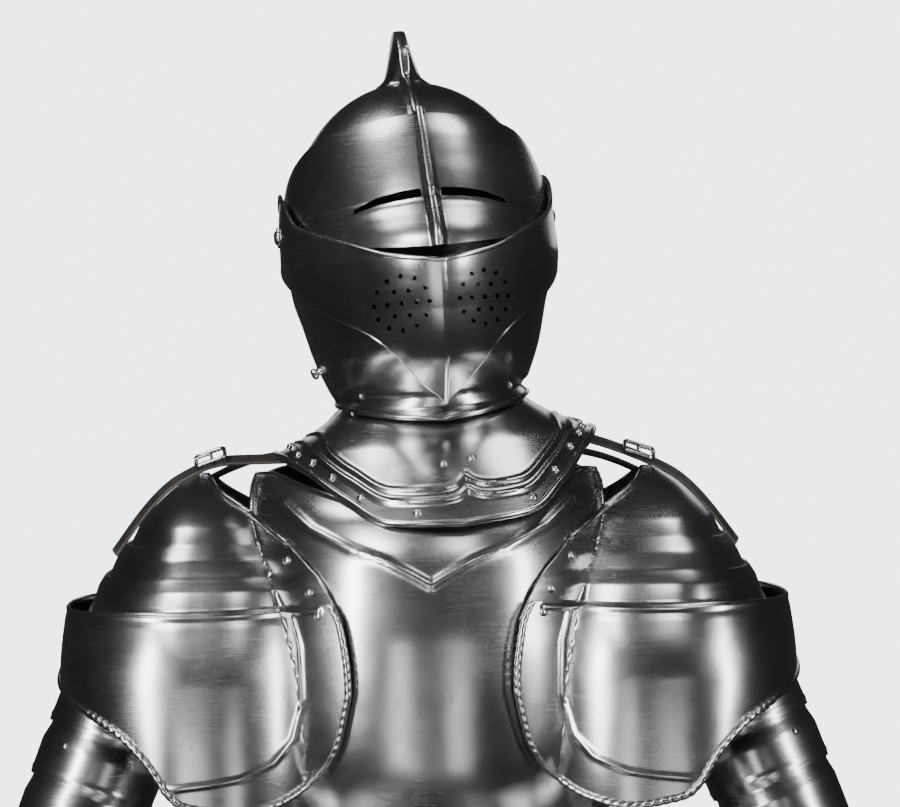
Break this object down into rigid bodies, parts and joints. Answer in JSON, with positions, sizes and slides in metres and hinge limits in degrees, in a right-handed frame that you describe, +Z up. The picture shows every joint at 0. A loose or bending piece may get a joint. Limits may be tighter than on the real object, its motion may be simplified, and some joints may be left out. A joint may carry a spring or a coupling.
{
  "type": "suit of plate armour",
  "caption": "Full suit of polished plate armour with crested close helmet, gorget, winged pauldrons, gauntlets and leg harness, standing hollow.",
  "frame": {"origin": "on the floor, under the middle of the suit's bounding box", "axes": "+Z up, the suit faces -Y, +X is the wearer's left"},
  "size_m": [0.7822, 0.4582, 1.8423],
  "materials": {
    "steel": "planished and polished, with fine brush marks and dark hollows",
    "leather": "oiled black strap leather with worn edges",
    "sole_leather": "plain waxed sole leather"
  },
  "bodies": {
    "suit": {"helmet_skull": "steel", "neck_lame_back": "steel", "temple_pivot_right": "steel", "temple_pivot_left": "steel", "gorget_front": "steel", "gorget_back": "steel", "breastplate": "steel", "backplate": "steel", "fauld_lame_1": "steel", "fauld_lame_2": "steel", "fauld_lame_3": "steel", "culet": "steel", "tasset_left": "steel", "cuisse_left": "steel", "poleyn_left": "steel", "greave_left": "steel", "sabaton_left": "steel", "sole_left": "sole_leather", "pauldron_cap_left": "steel", "pauldron_lame_1_left": "steel", "pauldron_lame_2_left": "steel", "pauldron_main_left": "steel", "upper_arm_lame_1_left": "steel", "upper_arm_lame_2_left": "steel", "upper_arm_lame_3_left": "steel", "rerebrace_left": "steel", "vambrace_left": "steel", "gauntlet_cuff_left": "steel", "couter_left": "steel", "gauntlet_hand_left": "steel", "gauntlet_mitten_left": "steel", "gauntlet_thumb_left": "steel", "strap_left": "leather", "buckle_left": "steel", "tasset_right": "steel", "cuisse_right": "steel", "poleyn_right": "steel", "greave_right": "steel", "sabaton_right": "steel", "sole_right": "sole_leather", "pauldron_cap_right": "steel", "pauldron_lame_1_right": "steel", "pauldron_lame_2_right": "steel", "pauldron_main_right": "steel", "upper_arm_lame_1_right": "steel", "upper_arm_lame_2_right": "steel", "upper_arm_lame_3_right": "steel", "rerebrace_right": "steel", "vambrace_right": "steel", "gauntlet_cuff_right": "steel", "couter_right": "steel", "gauntlet_hand_right": "steel", "gauntlet_mitten_right": "steel", "gauntlet_thumb_right": "steel", "strap_right": "leather", "buckle_right": "steel"},
    "lower_bevor": {"lower_bevor": "steel", "neck_lame_front": "steel"},
    "upper_bevor": {"upper_bevor": "steel"},
    "visor": {"visor": "steel"}
  },
  "joints": [
    {"name": "lower_bevor_hinge", "type": "hinge", "parent": "suit", "child": "lower_bevor", "pos_m": [-0.00507, 0.07711, 1.67258], "axis": [-0.9938, -0.0872, -0.0695], "range_deg": [0, 10]},
    {"name": "upper_bevor_hinge", "type": "hinge", "parent": "lower_bevor", "child": "upper_bevor", "pos_m": [-0.00507, 0.07711, 1.67258], "axis": [-0.9938, -0.0872, -0.0695], "range_deg": [0, 25]},
    {"name": "visor_hinge", "type": "hinge", "parent": "lower_bevor", "child": "visor", "pos_m": [-0.00507, 0.07711, 1.67258], "axis": [-0.9938, -0.0872, -0.0695], "range_deg": [0, 25]}
  ]
}
